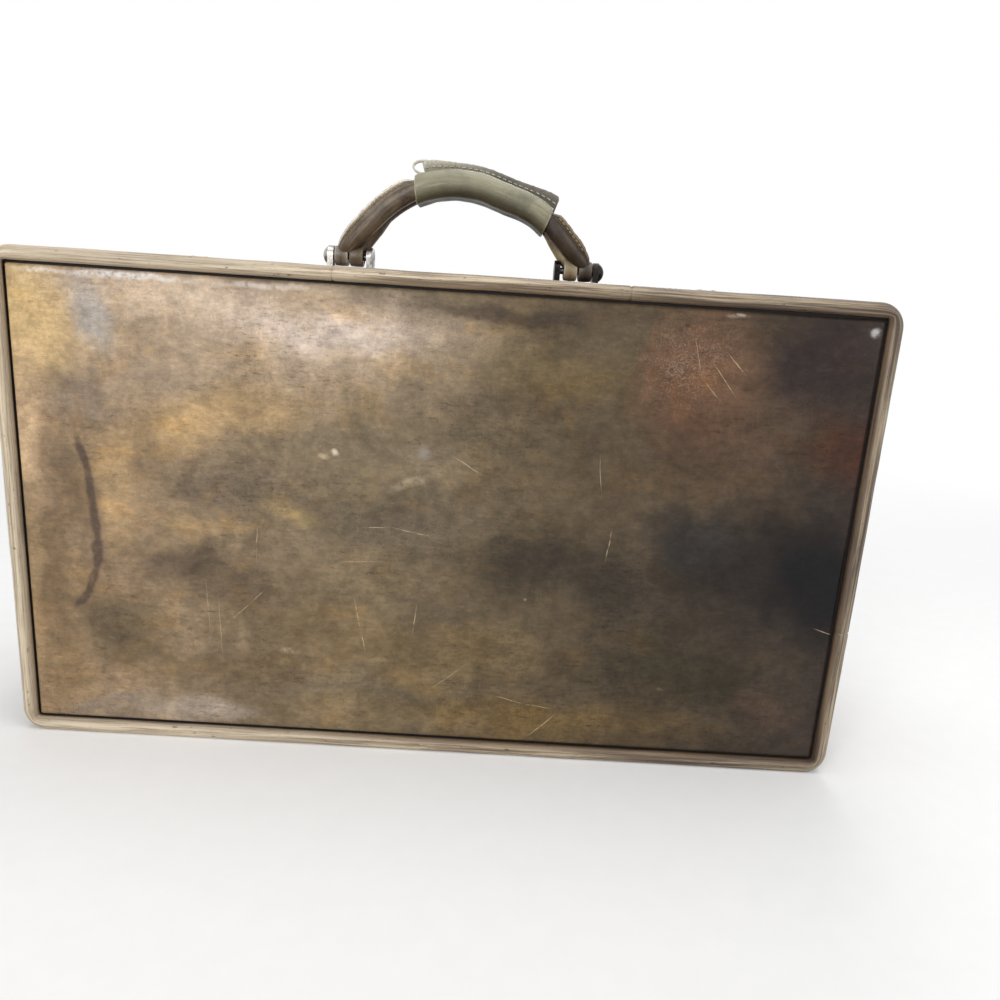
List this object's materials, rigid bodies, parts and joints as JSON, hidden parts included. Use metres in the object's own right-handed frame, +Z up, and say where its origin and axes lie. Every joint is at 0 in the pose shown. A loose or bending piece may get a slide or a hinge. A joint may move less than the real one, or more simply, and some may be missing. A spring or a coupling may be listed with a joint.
{
  "type": "briefcase",
  "caption": "Leather covered hard briefcase with a bottom hinged lid, beaded faces, a rolled strand handle, snap latches and folding lid stays.",
  "frame": {"origin": "under the middle of the case, on the surface it stands on", "axes": "+X along the width, to the right of someone who faces the lid; +Y from the lid's face to the back; +Z up through the handle"},
  "size_m": [0.499, 0.124, 0.3566],
  "materials": {
    "panel_leather": "aged semi-gloss, brown with dark patches",
    "bead_leather": "worn tan with rubbed highlights",
    "side_leather": "aged semi-gloss",
    "strand_leather": "dark polished with pale cut edges",
    "grip_leather": "khaki, satin",
    "wood": "bare",
    "lining": "brushed suede cloth",
    "brass": "tarnished satin",
    "steel": "dull plated"
  },
  "bodies": {
    "base": {"base_frame": "wood", "back_board": "wood", "base_cover": "side_leather", "back_panel": "panel_leather", "back_bead": "bead_leather", "base_lining": "lining", "base_rim": "brass", "hinge_leaf_base": "brass", "hinge_pin": "steel", "hinge_screws_base": "brass", "handle_bracket_left": "steel", "handle_bracket_right": "steel", "handle_pin_left": "steel", "handle_pin_right": "steel", "bracket_rivets": "steel", "latch_plate_left": "brass", "latch_plate_right": "brass", "hasp_pin_left": "steel", "hasp_pin_right": "steel", "latch_rivets": "brass", "stay_base_pin_left": "steel", "stay_base_pin_right": "steel"},
    "lid": {"lid_frame": "wood", "front_board": "wood", "lid_cover": "side_leather", "front_panel": "panel_leather", "front_bead": "bead_leather", "lid_lining": "lining", "lid_rim": "brass", "hinge_leaf_lid": "brass", "hinge_screws_lid": "brass", "catch_left": "brass", "catch_right": "brass", "catch_rivets": "brass", "stay_lid_pin_left": "steel", "stay_lid_pin_right": "steel", "document_pocket": "lining", "pocket_band": "side_leather"},
    "handle": {"handle_strand_front": "strand_leather", "handle_strand_rear": "strand_leather", "grip_wrap": "grip_leather", "handle_eyes_left": "steel", "handle_eyes_right": "steel"},
    "left_hasp": {"hasp_left": "brass"},
    "right_hasp": {"hasp_right": "brass"},
    "left_button": {"latch_button_left": "brass"},
    "right_button": {"latch_button_right": "brass"},
    "left_lower_link": {"stay_lower_left": "brass", "stay_elbow_pin_left": "steel"},
    "right_lower_link": {"stay_lower_right": "brass", "stay_elbow_pin_right": "steel"},
    "left_upper_link": {"stay_upper_left": "brass"},
    "right_upper_link": {"stay_upper_right": "brass"}
  },
  "joints": [
    {"name": "lid_hinge", "type": "hinge", "parent": "base", "child": "lid", "pos_m": [0, -0.01, 0.0026], "axis": [1, 0, 0], "range_deg": [0, 100]},
    {"name": "handle_pivot", "type": "hinge", "parent": "base", "child": "handle", "pos_m": [0.004, 0.008, 0.296], "axis": [1, 0, 0], "range_deg": [-70, 70]},
    {"name": "left_hasp_pivot", "type": "hinge", "parent": "base", "child": "left_hasp", "pos_m": [-0.1495, 0.013, 0.2872], "axis": [-1, 0, 0], "range_deg": [0, 88]},
    {"name": "right_hasp_pivot", "type": "hinge", "parent": "base", "child": "right_hasp", "pos_m": [0.1495, 0.013, 0.2872], "axis": [-1, 0, 0], "range_deg": [0, 88]},
    {"name": "left_button_slide", "type": "slide", "parent": "base", "child": "left_button", "axis": [-1, 0, 0], "range_m": [0, 0.006], "stiffness_N_per_m": 250, "springref_m": -0.002},
    {"name": "right_button_slide", "type": "slide", "parent": "base", "child": "right_button", "axis": [1, 0, 0], "range_m": [0, 0.006], "stiffness_N_per_m": 250, "springref_m": -0.002},
    {"name": "left_stay_base", "type": "hinge", "parent": "base", "child": "left_lower_link", "pos_m": [-0.2342, 0.02, 0.0286], "axis": [1, 0, 0], "range_deg": [0, 100]},
    {"name": "right_stay_base", "type": "hinge", "parent": "base", "child": "right_lower_link", "pos_m": [0.2342, 0.02, 0.0286], "axis": [1, 0, 0], "range_deg": [0, 100]},
    {"name": "left_stay_elbow", "type": "hinge", "parent": "left_lower_link", "child": "left_upper_link", "pos_m": [-0.2324, 0.007, 0.1286], "axis": [1, 0, 0], "range_deg": [-100, 0]},
    {"name": "right_stay_elbow", "type": "hinge", "parent": "right_lower_link", "child": "right_upper_link", "pos_m": [0.2324, 0.007, 0.1286], "axis": [1, 0, 0], "range_deg": [-100, 0]}
  ],
  "couplings": [
    {"joint": "left_stay_base", "follows": "lid_hinge", "ratio": 1},
    {"joint": "right_stay_base", "follows": "lid_hinge", "ratio": 1},
    {"joint": "left_stay_elbow", "follows": "lid_hinge", "ratio": -1},
    {"joint": "right_stay_elbow", "follows": "lid_hinge", "ratio": -1}
  ]
}
